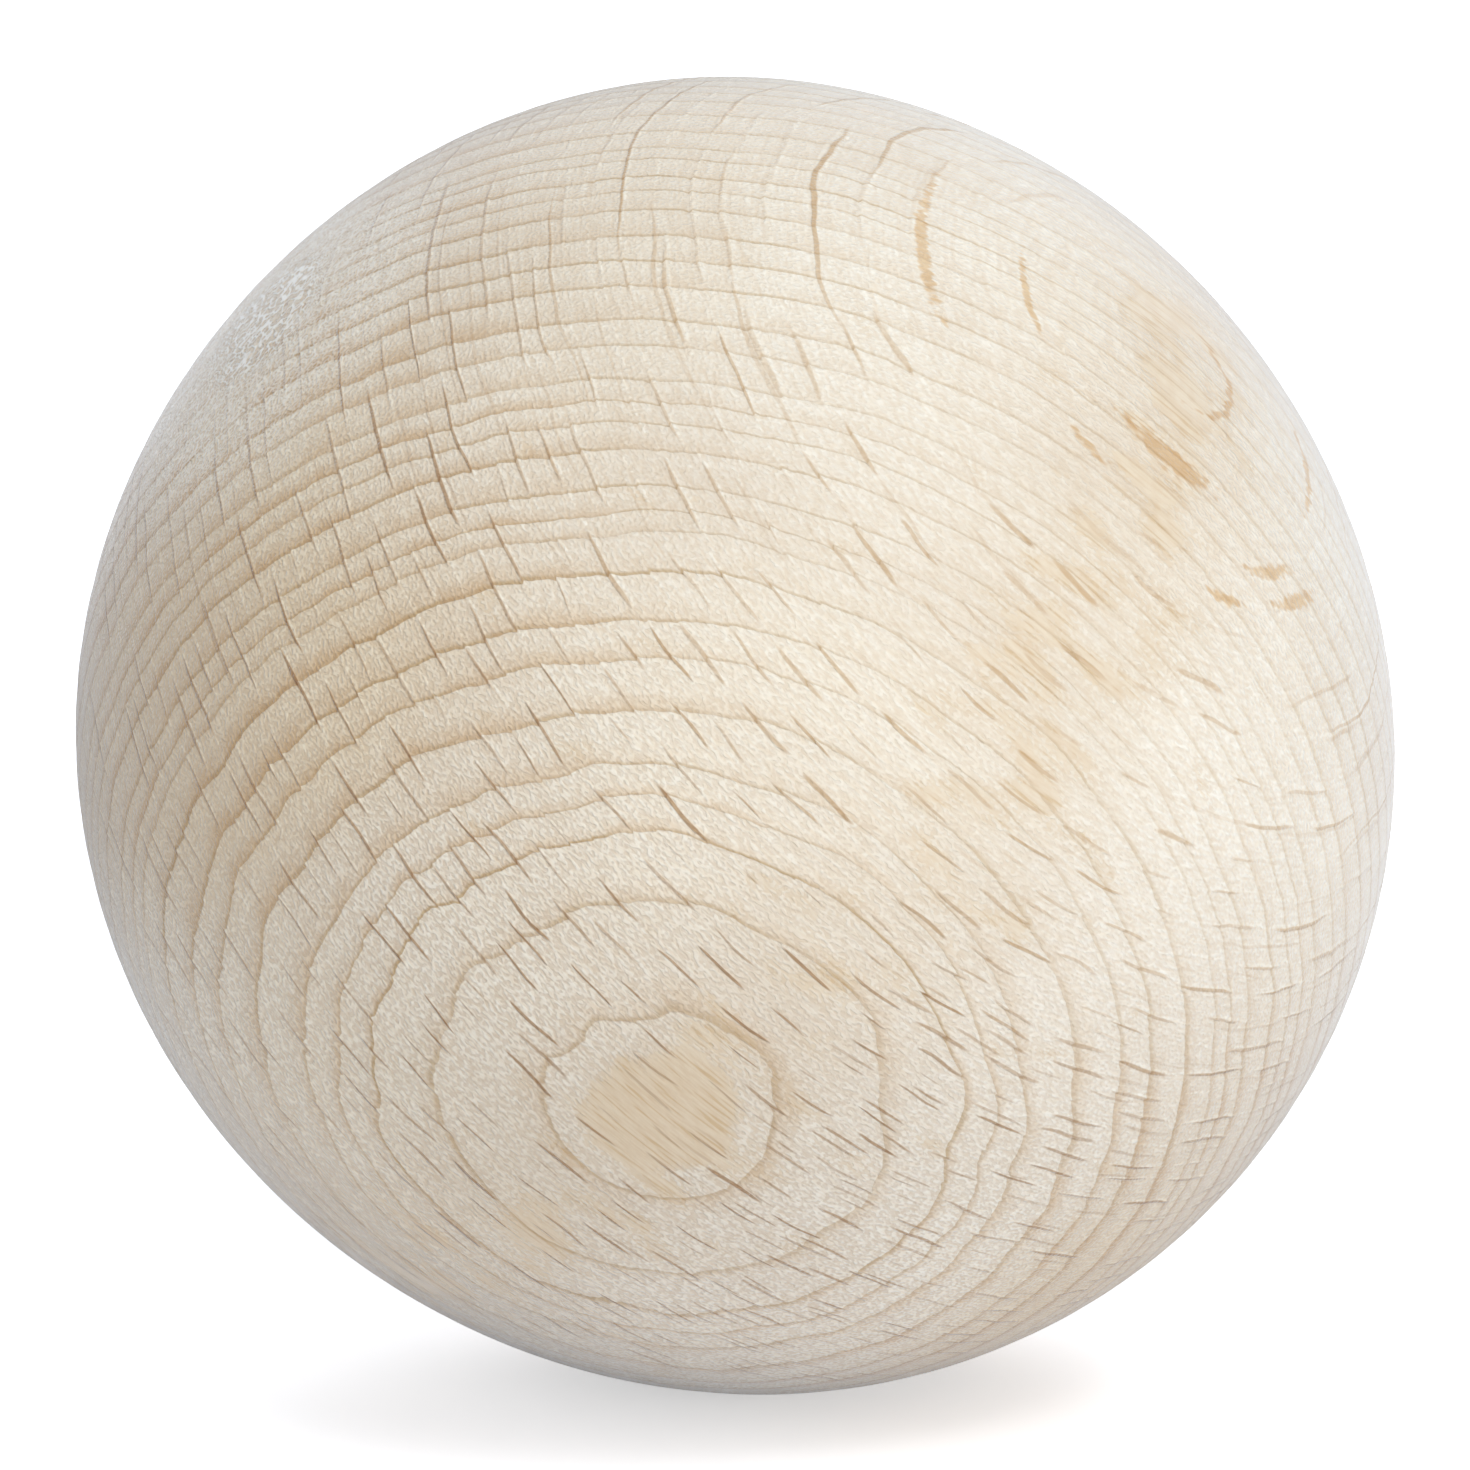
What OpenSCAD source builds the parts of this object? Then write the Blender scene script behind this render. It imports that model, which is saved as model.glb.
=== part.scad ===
// Wooden ball: one solid piece of beech, turned round when the wood was damp.
// Wood dries across its grain and keeps its length along it, so the ball has
// ended up a little longer along the grain than across it.
// The ball's centre is the origin, and +Z is up.

/* [Ball] */
// Diameter the ball was turned to, in millimetres
turned_d = 50; // [20:1:80]

/* [Drying] */
// Shrinkage square to the growth rings, in percent
radial_shrink = 1.4; // [0:0.1:6]
// Shrinkage along the growth rings, in percent
tangential_shrink = 2.8; // [0:0.1:10]

/* [Lie of the grain] */
// Lean of the grain about X, in degrees
grain_lean_x = 45; // [-180:1:180]
// Lean of the grain about Y, in degrees
grain_lean_y = 25; // [-180:1:180]
// Turn of the grain about Z, in degrees
grain_turn_z = -97; // [-180:1:180]

/* [Hidden] */
$fn = 180;

// The wood's own axes: X from the heart to the bark, Y along the rings, Z along the grain
dried = [1 - radial_shrink / 100, 1 - tangential_shrink / 100, 1];
grain = [grain_lean_x, grain_lean_y, grain_turn_z];

module ball() {
  color("blanchedalmond")
    rotate(grain)
      scale(dried)
        sphere(d = turned_d);
}

ball();
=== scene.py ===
import math
import random

import bpy
from mathutils import Euler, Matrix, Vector, noise


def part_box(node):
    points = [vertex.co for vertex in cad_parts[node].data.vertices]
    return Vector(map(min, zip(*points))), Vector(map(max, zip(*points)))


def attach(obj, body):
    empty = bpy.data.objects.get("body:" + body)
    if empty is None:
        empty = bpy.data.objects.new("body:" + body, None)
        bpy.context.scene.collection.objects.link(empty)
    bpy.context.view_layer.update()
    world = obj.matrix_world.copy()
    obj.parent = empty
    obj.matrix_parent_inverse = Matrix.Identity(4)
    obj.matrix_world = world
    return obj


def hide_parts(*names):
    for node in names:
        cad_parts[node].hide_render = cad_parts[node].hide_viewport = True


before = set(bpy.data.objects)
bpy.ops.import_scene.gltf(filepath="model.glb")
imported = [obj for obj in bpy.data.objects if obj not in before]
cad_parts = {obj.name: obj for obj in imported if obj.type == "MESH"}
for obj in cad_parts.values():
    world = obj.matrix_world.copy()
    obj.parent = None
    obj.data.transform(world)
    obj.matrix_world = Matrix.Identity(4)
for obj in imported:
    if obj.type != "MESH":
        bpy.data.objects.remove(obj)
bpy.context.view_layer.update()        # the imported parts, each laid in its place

mm = 0.001
grainLie = [math.radians(angle) for angle in (45, 25, -97)]


def addNode(tree, kind, **settings):
    node = tree.nodes.new(kind)
    for name, value in settings.items():
        setattr(node, name, value)
    return node


def feed(tree, socket, value):
    # a socket is linked, a number or a colour is typed in
    if hasattr(value, "is_output"):
        tree.links.new(value, socket)
    else:
        socket.default_value = value


def calc(tree, operation, *values, clamp=False):
    node = addNode(tree, "ShaderNodeMath", operation=operation, use_clamp=clamp)
    for socket, value in zip(node.inputs, values):
        feed(tree, socket, value)
    return node.outputs[0]


def vector(tree, operation, *values):
    node = addNode(tree, "ShaderNodeVectorMath", operation=operation)
    for socket, value in zip(node.inputs, values):
        feed(tree, socket, value)
    return node.outputs["Value" if operation in ("LENGTH", "DOT_PRODUCT") else "Vector"]


def split(tree, value):
    node = addNode(tree, "ShaderNodeSeparateXYZ")
    feed(tree, node.inputs[0], value)
    return node.outputs[0], node.outputs[1], node.outputs[2]


def ramp(tree, value, low, high, toLow=0.0, toHigh=1.0, kind="SMOOTHSTEP"):
    node = addNode(tree, "ShaderNodeMapRange", interpolation_type=kind, clamp=True)
    for socket, number in zip(node.inputs, (value, low, high, toLow, toHigh)):
        feed(tree, socket, number)
    return node.outputs[0]


def swell(tree, place, size, detail=0.0, rough=0.5, seed=0.0):
    # noise whose swells are size mm long in X, Y and Z
    spot = vector(tree, "MULTIPLY_ADD", place, [1 / s for s in size], (seed, seed * 1.7, seed * 2.3))
    node = addNode(tree, "ShaderNodeTexNoise", noise_type="FBM", normalize=True)
    feed(tree, node.inputs["Vector"], spot)
    node.inputs["Scale"].default_value = 1.0
    node.inputs["Detail"].default_value = detail
    node.inputs["Roughness"].default_value = rough
    return node.outputs[0]


def mixColour(tree, amount, first, second, blend="MIX"):
    node = addNode(tree, "ShaderNodeMix", data_type="RGBA", blend_type=blend)
    for socket, value in zip((node.inputs[0], node.inputs[6], node.inputs[7]), (amount, first, second)):
        feed(tree, socket, value)
    return node.outputs[2]


camera = {
    "distance": 288.0,     # mm from the ball's middle
    "height": 10.0,        # degrees above level
    "lens": 187.3,
    "sensor": 36,          # mm wide
    "shift": (-0.0022, 0.0018),
    "nearest": 0.01,       # metres, where its view begins
}

spot = bpy.data.objects.new("camera", bpy.data.cameras.new("camera"))
bpy.context.scene.collection.objects.link(spot)
lift = math.radians(camera["height"])
spot.location = (0, -camera["distance"] * mm * math.cos(lift), camera["distance"] * mm * math.sin(lift))
spot.rotation_euler = (math.pi / 2 - lift, 0, 0)
spot.data.lens = camera["lens"]
spot.data.sensor_width = camera["sensor"]
spot.data.shift_x, spot.data.shift_y = camera["shift"]
spot.data.clip_start = camera["nearest"]
bpy.context.scene.camera = spot
print("camera set")

# growth rings are nearly flat sheets across the ball, a little bowed
rings = {
    "middle": 24.65,       # mm, the ball's middle radius
    "outermost": 24.36,    # mm from the ball's middle to the outermost dark line
    # mm, width of each ring from the bark inwards
    "widths": [0.96, 1.0, 0.6, 0.6, 1.2, 1.2, 0.9, 1.3, 1.2, 0.6, 0.8, 1.3, 1.0, 0.8, 0.9, 1.4, 1.1,
               1.6, 1.3, 1.3, 1.5, 1.2, 0.9, 1.3, 0.8, 1.4, 1.6, 1.5],
    "further": (0.9, 1.8),  # mm, widths of the rings beyond those
    "span": 25.6,          # mm, the rings are laid from -span to +span
    # bend along the rings: the same everywhere, more towards the bark, and lopsided
    "bowAcross": (-0.06, 0.10, 0.02),
    # bend along the grain: more to either side, twisted, and more towards the bark
    "bowAlong": (0.055, -0.015, 0.035),
    "calm": 0.9,           # share of their slow swells that the outermost sheets lack
    "blunt": 0.03,         # holds the lines to a width where the cut runs along the rings
}


def ringLines():
    random.seed(4)
    lines = [rings["span"], rings["outermost"]]
    widths = list(rings["widths"])
    while lines[-1] > -rings["span"]:
        lines.append(lines[-1] - (widths.pop(0) if widths else random.uniform(*rings["further"])))
    return lines[::-1]


def bowed(a, b, l):
    # how far a sheet is bent, in ball radii, at a place given in ball radii
    even, outer, lopsided = rings["bowAcross"]
    sides, twist, rise = rings["bowAlong"]
    across = b * (even + outer * a * a + lopsided * a * b)
    return across + l * (sides * b * b + twist * b + rise * a * a)


def rolling(place, size, seed):
    # slow noise, about -0.5 to 0.5, with swells size mm long in the wood's own axes
    spot = Vector(place[k] * rings["middle"] / size[k] + seed for k in range(3))
    return 0.5 * noise.fractal(spot, 1.0, 2.0, 2)


def sheetHeight(place):
    # mm above the ball's middle of the growth sheet through this place
    wander = swelling("growthSheets", place) * (1 - rings["calm"] * zone("calm", place.x))
    return rings["middle"] * (place.x + bowed(*place)) + wander


def blend(value, low, high):
    part = min(max((value - low) / (high - low), 0.0), 1.0)
    return part * part * (3 - 2 * part)


ballShape = {
    "turned": 25.0,                   # mm, radius the ball was turned to
    "halvings": 7,                    # times each side of the starting cube is cut in two
    "dried": (0.986, 0.972, 1.0),     # heart to bark, along the rings, along the grain
    "lobes": ((3, 0.13, 76), (4, 0.06, 3)),   # number, height in mm, place in degrees
    "lobeTilt": 10.0,                 # degrees, lean of the upright plane that they lie in
    "ringRelief": 0.012,              # mm, late wood stands proud of early wood
    "lowestAt": 0.4,                  # of a ring's width from its inner line, early wood lies low
    "sheetEdge": 0.004,               # bare edge kept round each side in the picture sheet
    "tangle": (0.6, 1.5, 24.6),       # mm, middle of the torn tangle at the end of the grain
}

# zones of the ball by how the cut lies to the grain: where each sets in and where it is
# full, in ball radii along one of the wood's own axes
zones = {
    # towards either end of the grain
    "endGrain": (0.15, 0.75),
    "steepGrain": (0.50, 0.75),
    "shortOfEnd": (0.97, 0.88),
    "endPole": (0.960, 0.985),
    "alongFibres": (0.30, 0.05),
    "stripe": (0.24, 0.03),
    "torn": (0.25, 0.65),
    # towards one end of the grain
    "lowEnd": (-0.05, -0.30),
    "highEnd": (0.05, 0.35),
    "highHalf": (-0.15, 0.15),
    "lowHalf": (0.05, -0.20),
    # towards either side, along the rings
    "acrossRays": (0.35, 0.65),
    "shortOfSide": (0.975, 0.90),
    "nearlyAlongRays": (0.30, 0.65),
    # towards one side, along the rings
    "sidePole": (0.985, 0.996),
    "sideHalf": (0.0, 0.45),
    "shortTufts": (0.1, 0.6),
    "longRaySide": (0.35, 0.60),
    "farSide": (0.1, -0.3),
    "farHalf": (0.0, -0.35),
    "fewerGaps": (0.75, -0.10),
    # towards the bark
    "barkPole": (0.9940, 0.9990),
    "calm": (0.965, 0.995),
    "outerRings": (0.80, 0.95),
    "wideLines": (0.85, 0.97),
    "thinLines": (0.97, 0.985),
    "outerHalf": (0.45, 0.80),
    "nearBark": (0.55, 0.90),
    "moreRays": (0.60, 0.85),
    "fewLongRays": (0.50, 0.80),
    "heart": (0.40, 0.05),
    # towards the tangle
    "tangle": (0.986, 0.996),
    "roundTangle": (0.92, 0.98),
}

# what each zone adds to a field of the surface
amounts = {
    "steepGrain": {"even": 0.6, "shortOfEnd": 0.4},
    "rubbed": {"even": 0.47, "stripe": 0.18, "barkPole": 0.32, "sidePole": 0.12},
    "line": {"even": 0.65, "endGrain": 0.35, "outerRings": 0.50},
    "late": {"even": 0.50, "endGrain": 0.50},
    "cover": {"even": 1.0, "steepGrain": -0.25, "farSteepGrain": -0.26, "alongFibres": -0.18},
    "coverSwell": {"even": 0.88},
    "tan": {"steepGrain": 1.0, "sideHalf": -0.80, "alongFibres": 0.17, "highEnd": 0.25,
            "nearBark": 0.08, "farHalf": 0.25},
    "tangle": {"roundTangle": 0.40},
    "gaps": {"even": 0.76, "fewerGaps": -0.44},
    "lineWidth": {"even": 1.0, "wideLines": 0.25, "thinLines": -0.45, "acrossRays": -0.40,
                  "lowEnd": 0.5},
    "tufts": {"even": 0.025, "shortTufts": -0.006, "tangle": 0.020},    # mm high
    "rays": {"shown": 0.95, "acrossRays": -0.20, "outerRings": 0.25},
    "longRays": {"shown": 0.4, "heartSide": 0.75},
    # painted highlight beside the rays
    "moreRays": {"shown": 0.75},
    # painted light and shade either side of the ring step at each ray
    "rayHighlights": {"torn": 0.70},
    "stepShade": {"torn": 0.25},
}

# share of a field that each zone takes away
fades = {
    "line": {"lowEnd": 0.3, "endPole": 0.75},
    "late": {"acrossRays": 0.65, "endPole": 0.7},
    "cover": {"endPole": 0.12, "barkPole": 0.84},
    "rays": {"endPole": 0.6},
    "shortRays": {"heartSide": 0.75, "barkPole": 0.4},
    "longRays": {"fewLongRays": 0.85},
}

# slow swells: mm long in the wood's own axes, seed, and amount
swells = {
    "growthSheets": ((7, 2.2, 6), 1.3, 0.34),     # mm
    "raySheets": ((4, 1.6, 3), 3.1, 0.35),        # mm
    "endPole": ((5, 5, 5), 7.7, 0.05),
    "tangle": ((2, 2, 2), 4.8, 0.01),
    "rubbed": ((1.2, 1.2, 3.0), 2.7, 0.52),
    "cover": ((9, 9, 12), 6.5, 0.60),
}

# how the cut lies to the grain, kept at every point of the ball for the material to read
fields = ("sheet", "show", "coat", "mark", "rays", "edge")


def zone(name, value):
    return blend(value, *zones[name])


def weigh(name, **parts):
    return sum(amounts[name][part] * value for part, value in parts.items())


def fade(name, **parts):
    return math.prod(1 - fades[name][part] * value for part, value in parts.items())


def swelling(name, place):
    size, seed, rise = swells[name]
    return rise * rolling(place, size, seed)


def cutFields(place):
    a, b, l = place
    slant, facing = abs(l), abs(b)
    endGrain, alongFibres = zone("endGrain", slant), zone("alongFibres", slant)
    steepGrain = zone("steepGrain", slant)
    steepGrain *= weigh("steepGrain", even=1, shortOfEnd=zone("shortOfEnd", slant))
    acrossRays = zone("acrossRays", facing)
    endPole = zone("endPole", slant + swelling("endPole", place))
    barkPole = zone("barkPole", a + bowed(a, b, l))
    outerRings, lowEnd = zone("outerRings", a), zone("lowEnd", l)
    # height of the growth sheet, swing of the ray sheets, how squarely the cut meets the rings
    squareness = math.sqrt(1 + rings["blunt"] - a * a)
    sheet = (sheetHeight(place), swelling("raySheets", place), squareness)
    # smooth patches, ring line and late wood
    rubbed = swelling("rubbed", place)
    rubbed += weigh("rubbed", even=1, stripe=zone("stripe", slant), barkPole=barkPole,
                    sidePole=zone("sidePole", b))
    lineShow = weigh("line", even=1, endGrain=endGrain, outerRings=outerRings)
    lineShow *= fade("line", lowEnd=lowEnd, endPole=endPole)
    lateShow = weigh("late", even=1, endGrain=endGrain)
    lateShow *= fade("late", acrossRays=acrossRays, endPole=endPole)
    show = (rubbed, lineShow, lateShow)
    # torn fibres, tan and the tangle where the cut is square to the fibres
    cover = weigh("cover", even=1, steepGrain=steepGrain,
                  farSteepGrain=zone("farSide", b) * steepGrain, alongFibres=alongFibres)
    cover *= weigh("coverSwell", even=1) + swelling("cover", place)
    cover *= fade("cover", endPole=endPole, barkPole=barkPole)
    towardsTangle = abs(place.dot(Vector(ballShape["tangle"]).normalized()))
    tangle = zone("tangle", towardsTangle + swelling("tangle", place))
    tangle = max(tangle, weigh("tangle", roundTangle=zone("roundTangle", towardsTangle)))
    highHalf = zone("highHalf", l)
    tan = weigh("tan", steepGrain=steepGrain, sideHalf=steepGrain * zone("sideHalf", b),
                alongFibres=alongFibres, highEnd=zone("highEnd", l) * zone("outerHalf", a),
                nearBark=zone("nearBark", a) * highHalf,
                farHalf=zone("farHalf", b) * (1 - steepGrain) * highHalf)
    coat = (cover, tan, tangle)
    # gaps between the fibres, width of the ring lines, height of the torn fibres
    gaps = weigh("gaps", even=1, fewerGaps=zone("fewerGaps", b))
    lineWidth = weigh("lineWidth", even=1, wideLines=zone("wideLines", a),
                      thinLines=zone("thinLines", a), acrossRays=acrossRays, lowEnd=lowEnd)
    tufts = weigh("tufts", even=1, shortTufts=zone("shortTufts", b), tangle=tangle)
    mark = (gaps, lineWidth, tufts)
    # short rays, long rays, how tan they are
    heartSide = zone("heart", a) * zone("longRaySide", b)
    rayShow = weigh("rays", shown=1, acrossRays=acrossRays) * zone("shortOfSide", facing)
    rayShow *= fade("rays", endPole=endPole)
    rayShow += weigh("rays", outerRings=outerRings)
    longShow = rayShow * weigh("longRays", shown=1, heartSide=heartSide)
    longShow *= fade("longRays", fewLongRays=zone("fewLongRays", a))
    shortShow = rayShow * fade("shortRays", heartSide=heartSide, barkPole=barkPole)
    rays = (shortShow, longShow, zone("nearlyAlongRays", facing))
    # painted highlight beside the rays, painted light and shade at the ring step there, more short rays
    torn = zone("torn", slant)
    moreShow = weigh("moreRays", shown=rayShow) * zone("lowHalf", l) * zone("moreRays", a)
    edge = (weigh("rayHighlights", torn=torn), weigh("stepShade", torn=torn), moreShow)
    return sheet, show, coat, mark, rays, edge


def layOut(ball, half):
    # the cube's six sides go in two rows of three, so the sheet is full
    sheet = ball.data.uv_layers[0]
    sheet.name = "OFBake"
    edge = ballShape["sheetEdge"]
    for side in ball.data.polygons:
        axis = max(range(3), key=lambda k: abs(side.normal[k]))
        outward = 1 if side.normal[axis] > 0 else -1
        row = 0 if outward > 0 else 1
        for corner in side.loop_indices:
            point = ball.data.vertices[ball.data.loops[corner].vertex_index].co
            u = 0.5 + 0.5 * outward * point[(axis + 1) % 3] / half
            v = 0.5 + 0.5 * point[(axis + 2) % 3] / half
            sheet.data[corner].uv = ((axis + edge + u * (1 - 2 * edge)) / 3,
                                     (row + edge + v * (1 - 2 * edge)) / 2)


def makeBall():
    size = ballShape["turned"] * mm
    grain = Euler(grainLie, "XYZ")
    lines = ringLines()
    tilt = math.radians(ballShape["lobeTilt"])
    bpy.ops.object.select_all(action="DESELECT")
    bpy.ops.mesh.primitive_cube_add(size=2 * size)
    ball = bpy.context.active_object
    ball.name = ball.data.name = "beechBall"
    bpy.ops.object.mode_set(mode="EDIT")
    bpy.ops.mesh.select_all(action="SELECT")
    for halving in range(ballShape["halvings"]):
        bpy.ops.mesh.subdivide(number_cuts=1)
    bpy.ops.object.mode_set(mode="OBJECT")
    layOut(ball, size)
    bpy.ops.object.mode_set(mode="EDIT")
    bpy.ops.transform.tosphere(value=1.0)
    bpy.ops.object.mode_set(mode="OBJECT")
    kept = {name: [] for name in fields}
    for point in ball.data.vertices:
        place = point.co.normalized()
        for name, values in zip(fields, cutFields(place)):
            kept[name].extend(values)
        height = sheetHeight(place)
        above = next(k for k, line in enumerate(lines) if line > height)
        part = (height - lines[above - 1]) / (lines[above] - lines[above - 1])
        relief = -ballShape["ringRelief"] * math.cos(2 * math.pi * (part - ballShape["lowestAt"]))
        for axis in range(3):
            place[axis] *= ballShape["dried"][axis]
        place.rotate(grain)
        # grinding leaves low lobes round the ball
        right, up = place.x, place.y * math.sin(tilt) + place.z * math.cos(tilt)
        for count, rise, start in ballShape["lobes"]:
            turn = math.atan2(up, right) - math.radians(start)
            relief += rise * math.hypot(right, up) ** count * math.cos(count * turn)
        point.co = place * (ballShape["turned"] + relief) * mm
    for name, values in kept.items():
        ball.data.attributes.new(name, "FLOAT_VECTOR", "POINT").data.foreach_set("vector", values)
    bpy.ops.object.shade_smooth()
    return ball


ball = makeBall()
print("ball made:", len(ball.data.polygons), "faces")

beech = {
    # colours of the surface itself
    "fuzz": (0.985, 0.935, 0.825, 1),     # torn fibres, nearly white
    "thread": (0.99, 0.95, 0.87, 1),      # the loose threads of the tangle
    "body": (0.74, 0.63, 0.50, 1),        # bare wood between the fibres
    "burnish": (0.79, 0.66, 0.485, 1),    # smooth wood where the cutter rubbed
    # colours multiplied in
    "tan": (0.96, 0.90, 0.79, 1),         # steep end grain
    "lateWood": (0.84, 0.72, 0.59, 1),    # towards the end of each ring
    "ringLine": (0.74, 0.64, 0.49, 1),    # the dark line itself
    "vessel": (0.83, 0.71, 0.54, 1),      # hair lines along the fibres
    "amber": (0.84, 0.72, 0.53, 1),       # streaks in the smooth patches
    "ray": (0.60, 0.46, 0.34, 1),         # rays seen edge on
    "rayTan": (0.71, 0.55, 0.37, 1),      # the same where the cut runs nearly along them
    "rayFlat": (0.86, 0.71, 0.53, 1),     # rays cut along their flat side
    "hairTone": 0.22,
    "poreTone": 0.24,
    # finish
    "torn": 0.9,                          # roughness
    "smooth": 0.55,
    "specular": 0.4,
    "sheen": 0.9,
    "sheenRoughness": 0.35,
    "sheenTint": (0.92, 0.95, 1.0, 1),
    # rays, one to a brick: mm along the radius, across and along the grain
    "rayCell": (12.5, 0.90, 3.1),
    "rayLens": (6.0, 0.085, 1.40),        # half size of the largest
    "longCell": (32.0, 0.95, 5.4),        # the long fine rays
    "longLens": (15.5, 0.080, 2.65),
    "rayShift": 0.18,                     # of a brick, to either side
    "raySize": (0.55, 1.0),
    "rayStrength": (0.5, 1.0),
    "rayEdge": (1.0, 0.5),                # of a ray's half size, where it sets in and is full
    "highlightAt": 1.5,                         # the same for the middle of its painted highlight
    "highlightWidth": 0.6,
    "highlightSide": 0.03,                      # of a brick, where the painted highlight is full on its one side
    "highlightFlecks": (0.35, 0.60),
    # mm to either side of a ray, where the rings have jumped and where they are back
    "jump": 0.04,
    "jumpBack": 0.23,
    "jumpEnds": (1.1, 0.6),               # of a ray's half length
    "jumpHeight": 0.10,                   # mm
    # ring lines and late wood, mm from the end of the ring
    "nibble": 0.08,                       # how ragged the lines are
    "lateReach": (0.85, 0.05),
    "lateRange": (0.6, 1.2),              # between one ring and the next
    "latePatches": (0.62, 0.38, 0.45, 1.0),
    "lineReach": (0.20, 0.05),
    "lineStart": (0.02, 0.0),
    "lineRange": (0.5, 1.0),
    "linePatches": (0.3, 0.6, 0.4, 1.0),
    # torn fibre: the values of its noises where each mark sets in and is full
    "curls": (0.10, 0.0),
    "threads": (0.11, 0.035),
    "curlFlecks": (0.40, 0.60, 0.3, 1.0),
    "flecks": (0.38, 0.66),
    "tangleSwell": -0.40,                 # the curls are larger at the tangle
    "poreSwing": 0.24,                    # streaks in how far the cutter rubbed
    "tuftHold": -0.09,                    # tufts hold out in the burnished patches
    "burnished": (0.56, 0.72),
    "streakRubbed": (0.55, 0.66),
    "streakPores": (0.40, 0.24, 0.0, 0.6),
    "tuftLeft": 0.25,                     # in a burnished patch
    "coverLeft": 0.46,
    # mm, height in the bump
    "lateRelief": 0.030,
    "rayRelief": 0.022,
    "jumpRelief": 0.005,
    "hairRelief": 0.008,
    "poreRelief": 0.006,
    # mm, middle and half size of the broad flakes where the cut runs along the rays
    "flakes": (((5.5, 23.6, -0.4), (0.9, 0.16, 2.2)), ((0.0, 24.12, -1.6), (2.6, 0.02, 2.2)),
               ((7.6, 22.95, 3.2), (0.5, 0.07, 1.3)), ((5.8, 22.8, -6.2), (1.7, 0.10, 1.4)),
               ((5.4, 22.4, -7.8), (2.0, 0.12, 1.3)), ((8.6, 22.3, -4.7), (0.7, 0.10, 1.1)),
               ((-1.6, 23.15, -7.3), (3.0, 0.07, 1.6)), ((1.8, 21.95, 10.2), (4.6, 0.12, 1.6)),
               ((2.2, 23.3, 6.6), (2.8, 0.05, 1.2))),
    "flakeEdge": (1.15, 0.55),            # of a flake's half size
    "noFlake": 9.0,                       # the same, further than any shows
    "flakeRagged": (0.4, 1.2, -0.8),      # by the pores, by the curls, and evenly
}

# fine noises: mm long in the wood's own axes
grains = {
    "nibble": {"size": (0.45, 0.30, 0.40), "seed": 5.9},
    "patchy": {"size": (2.2, 2.2, 3), "detail": 1, "seed": 8.2},
    "hair": {"size": (1.6, 0.08, 0.5), "seed": 11.0},
    "pores": {"size": (0.12, 0.10, 2.0), "seed": 12.0},
    "curl": {"size": (0.20, 0.20, 0.36), "seed": 4.4},
    "fleck": {"size": (0.12, 0.12, 0.20), "seed": 9.6},
}


def woodPlace(tree):
    # mm in the wood's own axes: X from the heart to the bark, Y along the rings, Z along the grain
    coords = addNode(tree, "ShaderNodeTexCoord")
    turned = addNode(tree, "ShaderNodeMapping", vector_type="TEXTURE")
    turned.inputs["Rotation"].default_value = grainLie
    turned.inputs["Scale"].default_value = (mm, mm, mm)
    feed(tree, turned.inputs["Vector"], coords.outputs["Object"])
    return turned.outputs[0]


def chances(tree, spot):
    node = addNode(tree, "ShaderNodeTexWhiteNoise", noise_dimensions="3D")
    feed(tree, node.inputs["Vector"], spot)
    return split(tree, node.outputs["Color"])


def join(tree, x, y, z):
    node = addNode(tree, "ShaderNodeCombineXYZ")
    for socket, value in zip(node.inputs, (x, y, z)):
        feed(tree, socket, value)
    return node.outputs[0]


def spread(tree, part, low, high):
    # from low to high as part goes from 0 to 1
    return ramp(tree, part, 0.0, 1.0, low, high, "LINEAR")


def times(tree, product, *others):
    for other in others:
        product = calc(tree, "MULTIPLY", product, other)
    return product


def rayLayer(tree, place, cell, lens, seed):
    # thin upright sheets of ray tissue, one to each brick of a wall with staggered courses
    perBrick = [1 / side for side in cell]
    r, t, g = split(tree, vector(tree, "MULTIPLY_ADD", place, perBrick, (seed, seed, seed)))
    course = calc(tree, "FLOOR", t)
    g = calc(tree, "ADD", g, chances(tree, join(tree, course, seed, 0.0))[0])
    r = calc(tree, "ADD", r, chances(tree, join(tree, course, calc(tree, "FLOOR", g), seed))[0])
    brick = join(tree, r, t, g)
    size, strength, shift = chances(tree, vector(tree, "FLOOR", brick))
    gap = vector(tree, "SUBTRACT", vector(tree, "FRACTION", brick), (0.5, 0.5, 0.5))
    shift = spread(tree, shift, -beech["rayShift"], beech["rayShift"])
    gap = vector(tree, "SUBTRACT", gap, join(tree, 0.0, shift, 0.0))
    inLens = vector(tree, "MULTIPLY", gap, [side / half for side, half in zip(cell, lens)])
    # long and even in width, blunt at the ends
    long = vector(tree, "LENGTH", vector(tree, "MULTIPLY", inLens, (1, 0, 1)))
    across = split(tree, inLens)[1]
    reach = vector(tree, "LENGTH", join(tree, times(tree, long, long), across, 0.0))
    reach = calc(tree, "DIVIDE", reach, spread(tree, size, *beech["raySize"]))
    strength = spread(tree, strength, *beech["rayStrength"])
    mask = times(tree, ramp(tree, reach, *beech["rayEdge"]), strength)
    # a painted highlight along one side of the ray
    fromHighlight = calc(tree, "ABSOLUTE", calc(tree, "SUBTRACT", reach, beech["highlightAt"]))
    highlight = ramp(tree, fromHighlight, beech["highlightWidth"], 0.0)
    highlight = times(tree, highlight, ramp(tree, split(tree, gap)[1], 0.0, beech["highlightSide"]), strength)
    return mask, highlight, gap, long


def ringStep(tree, gap, long, cell):
    # the rings step sideways where a ray crosses them
    across = times(tree, split(tree, gap)[1], cell[1])
    step = ramp(tree, across, -beech["jump"], beech["jump"], -1.0, 1.0, "LINEAR")
    back = ramp(tree, calc(tree, "ABSOLUTE", across), 0.0, beech["jumpBack"], 1.0, 0.0, "LINEAR")
    return times(tree, step, back, ramp(tree, long, *beech["jumpEnds"]))


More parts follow.
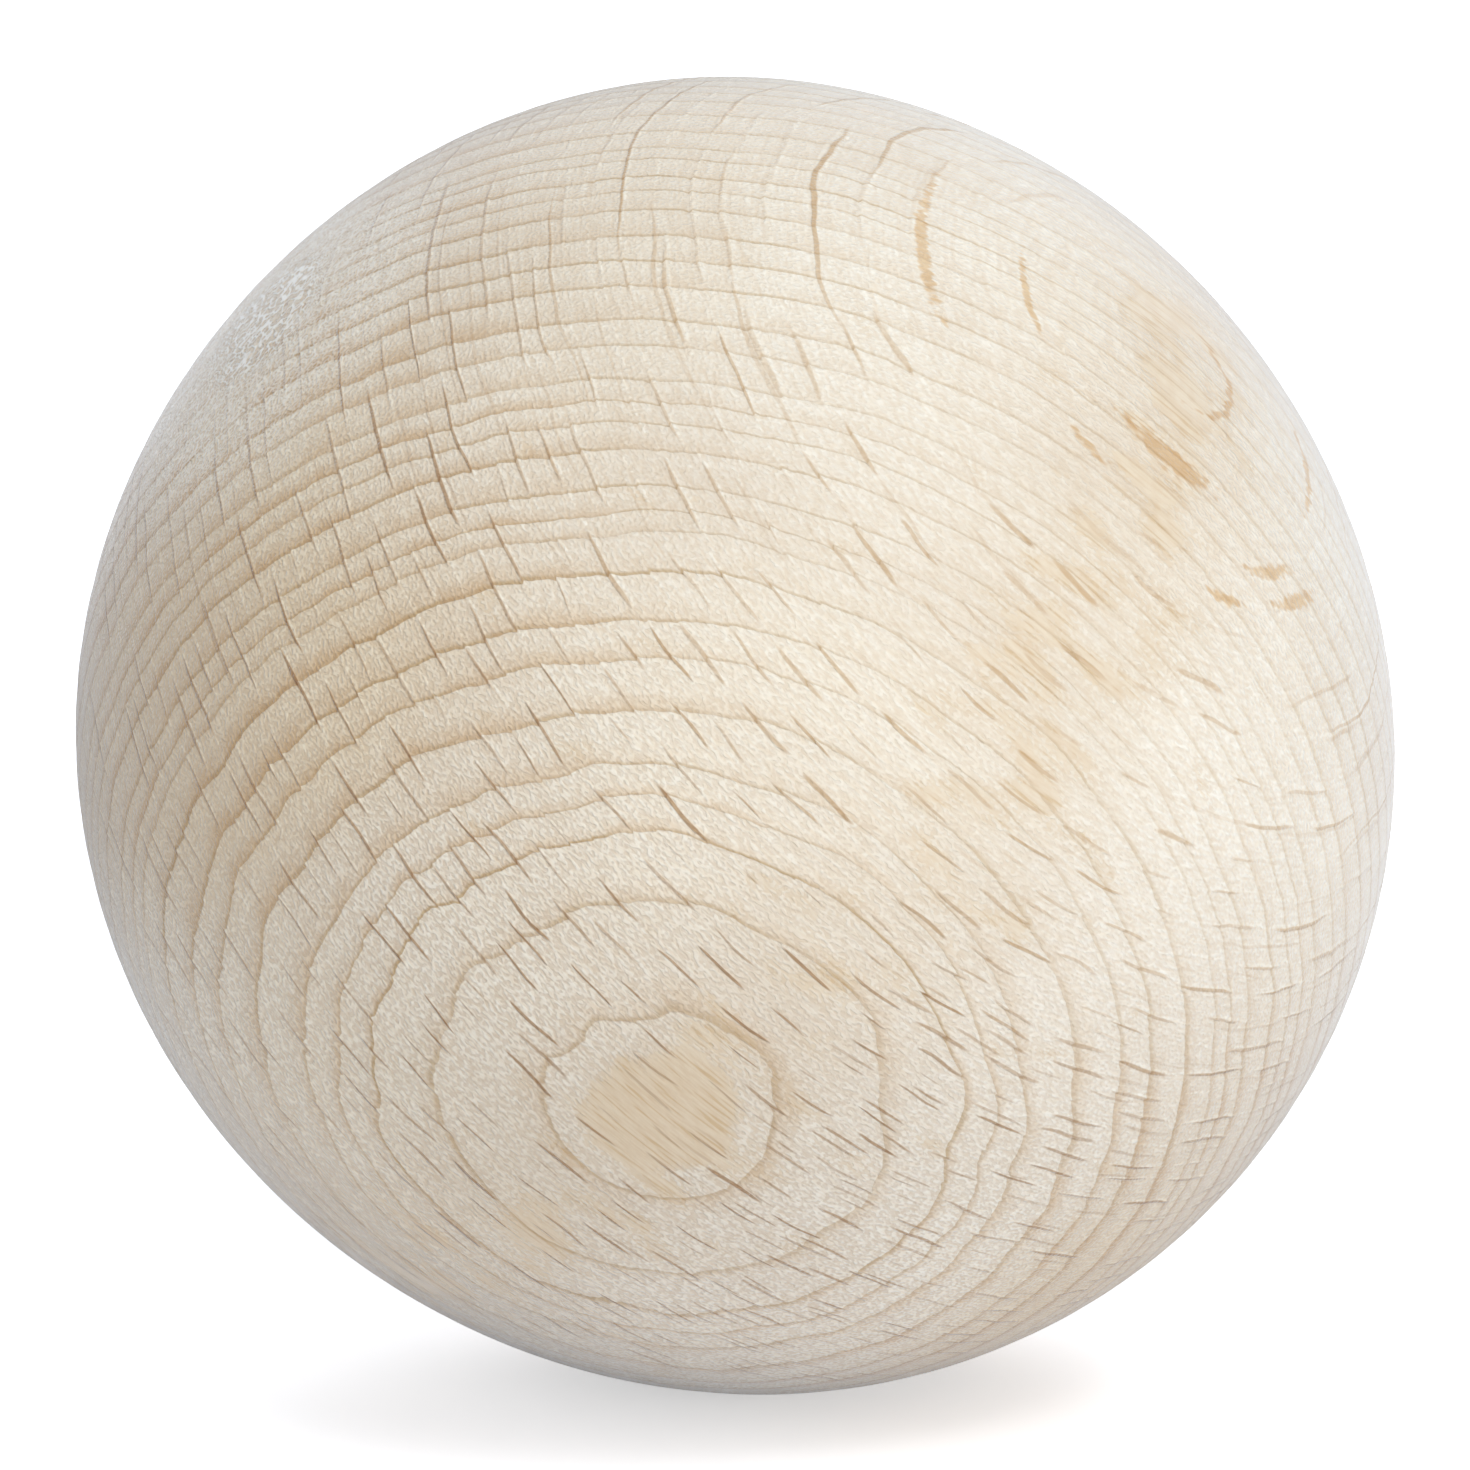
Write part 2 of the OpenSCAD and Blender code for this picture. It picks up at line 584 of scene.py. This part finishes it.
def sideSigns(tree, part):
    # 1 on one side of the ball and -1 on the other, for marks that are at both ends of an axis
    sign = calc(tree, "SIGN", part)
    return join(tree, sign, sign, sign)


def flakeLayer(tree, place, pores, curl):
    byPores, byCurl, evenly = beech["flakeRagged"]
    ragged = calc(tree, "MULTIPLY_ADD", curl, byCurl, evenly)
    ragged = calc(tree, "MULTIPLY_ADD", pores, byPores, ragged)
    place = vector(tree, "MULTIPLY", place, sideSigns(tree, split(tree, place)[1]))
    near = beech["noFlake"]
    for middle, half in beech["flakes"]:
        start = [-m / h for m, h in zip(middle, half)]
        inside = vector(tree, "MULTIPLY_ADD", place, [1 / h for h in half], start)
        near = calc(tree, "MINIMUM", near, vector(tree, "LENGTH", inside))
    return ramp(tree, calc(tree, "ADD", near, ragged), *beech["flakeEdge"])


def field(tree, name):
    node = addNode(tree, "ShaderNodeAttribute", attribute_type="GEOMETRY", attribute_name=name)
    return split(tree, node.outputs["Vector"])


def ringPhase(tree, height, lines):
    # the curve turns the height of a growth sheet into a count of rings
    count = len(lines) - 1
    curve = addNode(tree, "ShaderNodeFloatCurve")
    graph = curve.mapping.curves[0]
    low, high = lines[0], lines[-1]
    for index, line in enumerate(lines):
        x, y = (line - low) / (high - low), index / count
        if index in (0, count):
            graph.points[0 if index == 0 else -1].location = (x, y)
        else:
            graph.points.new(x, y)
    for knot in graph.points:
        knot.handle_type = "VECTOR"
    curve.mapping.update()
    feed(tree, curve.inputs["Value"], ramp(tree, height, low, high, kind="LINEAR"))
    return times(tree, curve.outputs[0], float(count))


def rayMarks(tree, place):
    # rays, with their sheets waved a little, their painted highlights and the step of the rings there
    swung = vector(tree, "ADD", place, join(tree, 0.0, field(tree, "sheet")[1], 0.0))
    shortShow, longShow, nearlyAlong = field(tree, "rays")
    moreShow = field(tree, "edge")[2]
    short, shortHighlight, gap, long = rayLayer(tree, swung, beech["rayCell"], beech["rayLens"], 7.3)
    far, farHighlight = rayLayer(tree, swung, beech["longCell"], beech["longLens"], 3.4)[:2]
    more = rayLayer(tree, swung, beech["rayCell"], beech["rayLens"], 1.9)[0]
    highlight = calc(tree, "MAXIMUM", times(tree, shortHighlight, shortShow), times(tree, farHighlight, longShow))
    rays = calc(tree, "MAXIMUM", times(tree, short, shortShow), times(tree, more, moreShow))
    rays = calc(tree, "MAXIMUM", rays, times(tree, far, longShow), clamp=True)
    return rays, nearlyAlong, highlight, ringStep(tree, gap, long, beech["rayCell"])


def ringMarks(tree, place, rayStep):
    # ring lines are ragged and step at the rays, less so where the cut runs along the rings
    sheet = field(tree, "sheet")
    height, squareness = sheet[0], sheet[2]
    lineShow, lateShow = field(tree, "show")[1:]
    lineWidth = field(tree, "mark")[1]
    nibble = calc(tree, "SUBTRACT", swell(tree, place, **grains["nibble"]), 0.5)
    nibble = times(tree, nibble, beech["nibble"])
    nibble = calc(tree, "MULTIPLY_ADD", rayStep, beech["jumpHeight"], nibble)
    phase = ringPhase(tree, calc(tree, "MULTIPLY_ADD", nibble, squareness, height), ringLines())
    through = calc(tree, "FRACT", phase)
    perRing = addNode(tree, "ShaderNodeTexWhiteNoise", noise_dimensions="1D")
    feed(tree, perRing.inputs["W"], calc(tree, "ADD", calc(tree, "FLOOR", phase), 0.37))
    lateChance, lineChance = split(tree, perRing.outputs["Color"])[:2]
    toLine = calc(tree, "DIVIDE", calc(tree, "SUBTRACT", 1.0, through), squareness)
    patchy = swell(tree, place, **grains["patchy"])
    late = ramp(tree, toLine, *beech["lateReach"])
    lateTone = times(tree, late, spread(tree, lateChance, *beech["lateRange"]), lateShow,
                     ramp(tree, patchy, *beech["latePatches"]))
    line = ramp(tree, calc(tree, "DIVIDE", toLine, lineWidth), *beech["lineReach"])
    pastLine = ramp(tree, calc(tree, "DIVIDE", through, squareness), *beech["lineStart"])
    line = times(tree, calc(tree, "MAXIMUM", line, pastLine),
                 spread(tree, lineChance, *beech["lineRange"]),
                 ramp(tree, patchy, *beech["linePatches"]))
    return late, lateTone, calc(tree, "MULTIPLY", line, lineShow, clamp=True)


def curlsOf(tree, place, tangle):
    # curls of fibre, wider at the tangle
    middle = vector(tree, "MULTIPLY", ballShape["tangle"], sideSigns(tree, split(tree, place)[2]))
    aside = vector(tree, "SUBTRACT", place, middle)
    closer = times(tree, tangle, beech["tangleSwell"])
    place = vector(tree, "MULTIPLY_ADD", aside, join(tree, closer, closer, closer), place)
    return swell(tree, place, **grains["curl"])


def fibreMarks(tree, place, pores, curl, highlight, rayStep):
    # torn fibres stand up in curls and flecks all over, but for the burnished patches
    rubbed = field(tree, "show")[0]
    coat, tangle = field(tree, "coat")[::2]
    gaps = field(tree, "mark")[0]
    highlightShow, stepShadeShow = field(tree, "edge")[:2]
    fleck = swell(tree, place, **grains["fleck"])
    fromCurl = calc(tree, "ABSOLUTE", calc(tree, "SUBTRACT", curl, 0.5))
    threads = times(tree, ramp(tree, fromCurl, *beech["threads"]), tangle)
    curls = times(tree, ramp(tree, fromCurl, *beech["curls"]),
                  ramp(tree, fleck, *beech["curlFlecks"], "LINEAR"))
    tuft = calc(tree, "MAXIMUM", ramp(tree, fleck, *beech["flecks"]), curls)
    swing = calc(tree, "MULTIPLY_ADD", pores, beech["poreSwing"], -0.5 * beech["poreSwing"])
    rubbed = calc(tree, "ADD", rubbed, swing)
    streak = times(tree, ramp(tree, pores, *beech["streakPores"]),
                   ramp(tree, rubbed, *beech["streakRubbed"]))
    rubbed = calc(tree, "MULTIPLY_ADD", tuft, beech["tuftHold"], rubbed)
    burnished = ramp(tree, rubbed, *beech["burnished"])
    tuft = times(tree, tuft, spread(tree, burnished, 1.0, beech["tuftLeft"]))
    cover = times(tree, spread(tree, tuft, gaps, 1.0), coat,
                  spread(tree, burnished, 1.0, beech["coverLeft"]))
    # painted light and shade: lighter on one side of each ray step, darker on the other
    cover = calc(tree, "MULTIPLY_ADD", rayStep, stepShadeShow, cover)
    # a painted highlight beside the rays, laid on as whiter fuzz
    highlight = times(tree, highlight, ramp(tree, fleck, *beech["highlightFlecks"]))
    cover = calc(tree, "MULTIPLY_ADD", highlight, highlightShow, cover)
    cover = calc(tree, "ADD", threads, cover, clamp=True)
    return cover, burnished, streak, tuft, threads


def woodMaterial():
    wood = bpy.data.materials.new("rawBeech")
    wood.use_nodes = True
    tree = wood.node_tree
    shader = tree.nodes["Principled BSDF"]
    place = woodPlace(tree)
    tan, tangle = field(tree, "coat")[1:]
    # fine rays and vessels show as hair lines along the rays and along the fibres
    hair = swell(tree, place, **grains["hair"])
    pores = swell(tree, place, **grains["pores"])
    curl = curlsOf(tree, place, tangle)
    rays, nearlyAlong, highlight, rayStep = rayMarks(tree, place)
    late, lateTone, line = ringMarks(tree, place, rayStep)
    flakes = flakeLayer(tree, place, pores, curl)
    cover, burnished, streak, tuft, threads = fibreMarks(tree, place, pores, curl, highlight, rayStep)
    hairTone = ramp(tree, hair, 0.30, 0.70, beech["hairTone"], 0.0)
    poreTone = ramp(tree, pores, 0.30, 0.70, beech["poreTone"], 0.0)
    rayTint = mixColour(tree, nearlyAlong, beech["ray"], beech["rayTan"])

    colour = mixColour(tree, burnished, beech["body"], beech["burnish"])
    colour = mixColour(tree, cover, colour, beech["fuzz"])
    for amount, tint in ((tan, beech["tan"]), (lateTone, beech["lateWood"]), (line, beech["ringLine"]),
                         (hairTone, beech["lateWood"]), (poreTone, beech["vessel"]),
                         (streak, beech["amber"]), (rays, rayTint)):
        colour = mixColour(tree, amount, colour, tint, "MULTIPLY")
    colour = mixColour(tree, threads, colour, beech["thread"])
    colour = mixColour(tree, flakes, colour, beech["rayFlat"], "MULTIPLY")
    feed(tree, shader.inputs["Base Color"], colour)
    feed(tree, shader.inputs["Roughness"], spread(tree, burnished, beech["torn"], beech["smooth"]))
    shader.inputs["Specular IOR Level"].default_value = beech["specular"]
    shader.inputs["Sheen Weight"].default_value = beech["sheen"]
    shader.inputs["Sheen Roughness"].default_value = beech["sheenRoughness"]
    shader.inputs["Sheen Tint"].default_value = beech["sheenTint"]

    # relief in mm
    relief = times(tree, calc(tree, "MAXIMUM", tuft, threads), field(tree, "mark")[2])
    for mark, rise in ((late, beech["lateRelief"]), (rays, beech["rayRelief"]),
                       (rayStep, beech["jumpRelief"]), (hair, beech["hairRelief"]),
                       (pores, beech["poreRelief"])):
        relief = calc(tree, "MULTIPLY_ADD", mark, rise, relief)
    bump = addNode(tree, "ShaderNodeBump")
    bump.inputs["Strength"].default_value = 1.0
    bump.inputs["Distance"].default_value = mm
    feed(tree, bump.inputs["Height"], relief)
    feed(tree, shader.inputs["Normal"], bump.outputs[0])
    return wood


ball.data.materials.clear()
ball.data.materials.append(woodMaterial())
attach(ball, "root")
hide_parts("ball")
print("beech laid on")

room = {
    "size": 6.0,                     # metres, floor
    "paper": (0.94, 0.95, 1.0, 1),   # the floor's own colour
    "lift": (0.52, 1.0),             # light the floor gives the lens, so that it shows white
    "liftFrom": (0.3, 1.5),          # metres from the ball, where it goes from one to the other
    "air": (0.82, 0.895, 1.0, 1),    # the light all round
    "airLight": 0.405,
    # name, degrees round from the front, degrees up, watts, colour
    "lamps": (("front", 29, 5, 12.2, (1.0, 0.985, 0.955)),
              ("top", 29, 58, 18.7, (1.0, 0.985, 0.955)),
              ("back", 176, 34, 14.5, (0.97, 0.98, 1.0))),
    "lampDistance": 2.0,             # metres
    "lampSize": 1.0,                 # metres
}


def seenByLens(tree):
    light = addNode(tree, "ShaderNodeLightPath")
    seen = calc(tree, "ADD", light.outputs["Is Camera Ray"], light.outputs["Is Glossy Ray"])
    return calc(tree, "ADD", seen, light.outputs["Is Transmission Ray"], clamp=True)


def makeFloor():
    bpy.ops.object.select_all(action="DESELECT")
    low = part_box("ball")[0][2]
    bpy.ops.mesh.primitive_plane_add(size=room["size"], location=(0, 0, low))
    floor = bpy.context.active_object
    floor.name = "floor"
    paper = bpy.data.materials.new("paper")
    paper.use_nodes = True
    tree = paper.node_tree
    shader = tree.nodes["Principled BSDF"]
    shader.inputs["Base Color"].default_value = room["paper"]
    shader.inputs["Roughness"].default_value = 1.0
    shader.inputs["Specular IOR Level"].default_value = 0.0
    shader.inputs["Emission Color"].default_value = (1, 1, 1, 1)
    coords = addNode(tree, "ShaderNodeTexCoord")
    away = vector(tree, "LENGTH", coords.outputs["Object"])
    lift = ramp(tree, away, *room["liftFrom"], *room["lift"])
    feed(tree, shader.inputs["Emission Strength"], calc(tree, "MULTIPLY", seenByLens(tree), lift))
    floor.data.materials.append(paper)


def addLamp(name, azimuth, height, power, colour):
    lamp = bpy.data.objects.new(name, bpy.data.lights.new(name, "AREA"))
    bpy.context.scene.collection.objects.link(lamp)
    turn, rise, far = math.radians(azimuth), math.radians(height), room["lampDistance"]
    lamp.location = (far * math.sin(turn) * math.cos(rise), -far * math.cos(turn) * math.cos(rise),
                     far * math.sin(rise))
    lamp.rotation_euler = (math.pi / 2 - rise, 0, turn)
    lamp.data.size = room["lampSize"]
    lamp.data.energy = power
    lamp.data.color = colour


def makeAir():
    world = bpy.data.worlds.new("room")
    bpy.context.scene.world = world
    world.use_nodes = True
    tree = world.node_tree
    air = tree.nodes["Background"]
    air.inputs["Color"].default_value = room["air"]
    air.inputs["Strength"].default_value = room["airLight"]
    white = addNode(tree, "ShaderNodeBackground")
    white.inputs["Color"].default_value = (1, 1, 1, 1)
    white.inputs["Strength"].default_value = 1.0
    both = addNode(tree, "ShaderNodeMixShader")
    feed(tree, both.inputs[0], seenByLens(tree))
    feed(tree, both.inputs[1], air.outputs[0])
    feed(tree, both.inputs[2], white.outputs[0])
    feed(tree, tree.nodes["World Output"].inputs["Surface"], both.outputs[0])


makeFloor()
for lamp in room["lamps"]:
    addLamp(*lamp)
makeAir()
bpy.context.scene.view_settings.view_transform = "Standard"
print("floor and light set")
